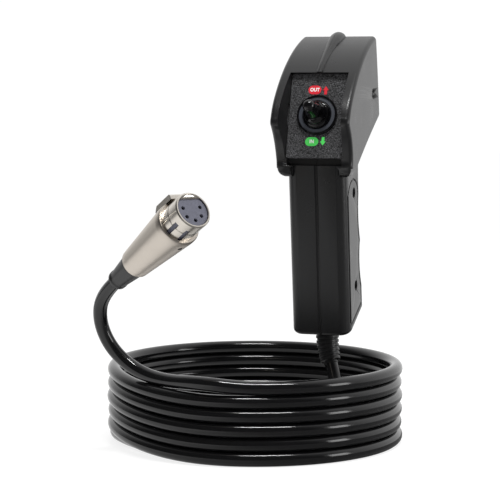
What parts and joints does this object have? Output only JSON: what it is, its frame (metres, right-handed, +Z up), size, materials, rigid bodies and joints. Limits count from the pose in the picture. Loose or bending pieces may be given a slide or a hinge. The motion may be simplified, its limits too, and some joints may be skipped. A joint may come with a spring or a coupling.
{
  "type": "winch_remote_control",
  "caption": "Hand held winch remote control with a guarded toggle switch, coiled cable and five pole round plug",
  "frame": {"origin": "middle of the hand grip, midway between its sides, 40 mm above its lower front edge", "axes": "+Z up along the grip toward the head, -Y out of the front where the toggle is, +X to the right seen from the front"},
  "size_m": [0.1419, 0.186, 0.1967],
  "materials": {
    "housing": "fine moulded grain",
    "plate": "leather-like spark texture",
    "ring": "matte",
    "boot": "glossy moulded rubber",
    "steel": "plated",
    "screw": "black oxide",
    "brass": "turned",
    "phenolic": "moulded phenolic",
    "nylon": "natural nylon",
    "rubber": "moulded",
    "cable": "glossy jacket",
    "cores": "wire insulation",
    "nickel": "satin nickel",
    "insert": "moulded",
    "contact": "gold plated"
  },
  "bodies": {
    "handset": {"right_housing": "housing", "left_housing": "housing", "housing_screws": "screw", "switch_plate": "plate", "boot_ring": "ring", "boot_base": "boot", "lever_pin": "steel", "switch_bushing": "steel", "bushing_nut": "steel", "lock_washer": "steel", "switch_frame": "steel", "switch_case": "phenolic", "switch_terminals": "brass", "strain_relief": "rubber", "cable_in_grip": "cable", "cable_clamp": "steel", "clamp_screws": "steel", "lead_wires": "cores", "plug_boot": "rubber", "plug_shell": "nickel", "plug_nose": "nickel", "contact_insert": "insert", "plug_contacts": "contact", "latch_pin": "steel", "latch_spring": "steel", "set_screw": "screw", "plug_chuck": "nylon", "cable_in_plug": "cable", "plug_cores": "cores", "cable_coil": "cable", "handset_lead": "cable", "plug_lead": "cable"},
    "toggle": {"boot_tip": "boot", "toggle_lever": "steel", "plunger": "nylon", "plunger_spring": "steel"},
    "rocker": {"contact_rocker": "brass"},
    "latch": {"latch_lever": "nickel"}
  },
  "joints": [
    {"name": "toggle_hinge", "type": "hinge", "parent": "handset", "child": "toggle", "pos_m": [0, -0.00913, 0.06512], "axis": [1, 0, 0], "range_deg": [-13, 13], "stiffness_Nm_per_rad": 0.35},
    {"name": "rocker_hinge", "type": "hinge", "parent": "handset", "child": "rocker", "pos_m": [0, 0.00005, 0.06232], "axis": [1, 0, 0], "range_deg": [-7.8, 7.8], "stiffness_Nm_per_rad": 0.02},
    {"name": "latch_hinge", "type": "hinge", "parent": "handset", "child": "latch", "pos_m": [-0.04365, -0.10481, 0.02547], "axis": [0.592, 0.8059, 0], "range_deg": [0, 2.4], "stiffness_Nm_per_rad": 0.6}
  ],
  "couplings": [
    {"joint": "rocker_hinge", "follows": "toggle_hinge", "ratio": -0.6}
  ]
}
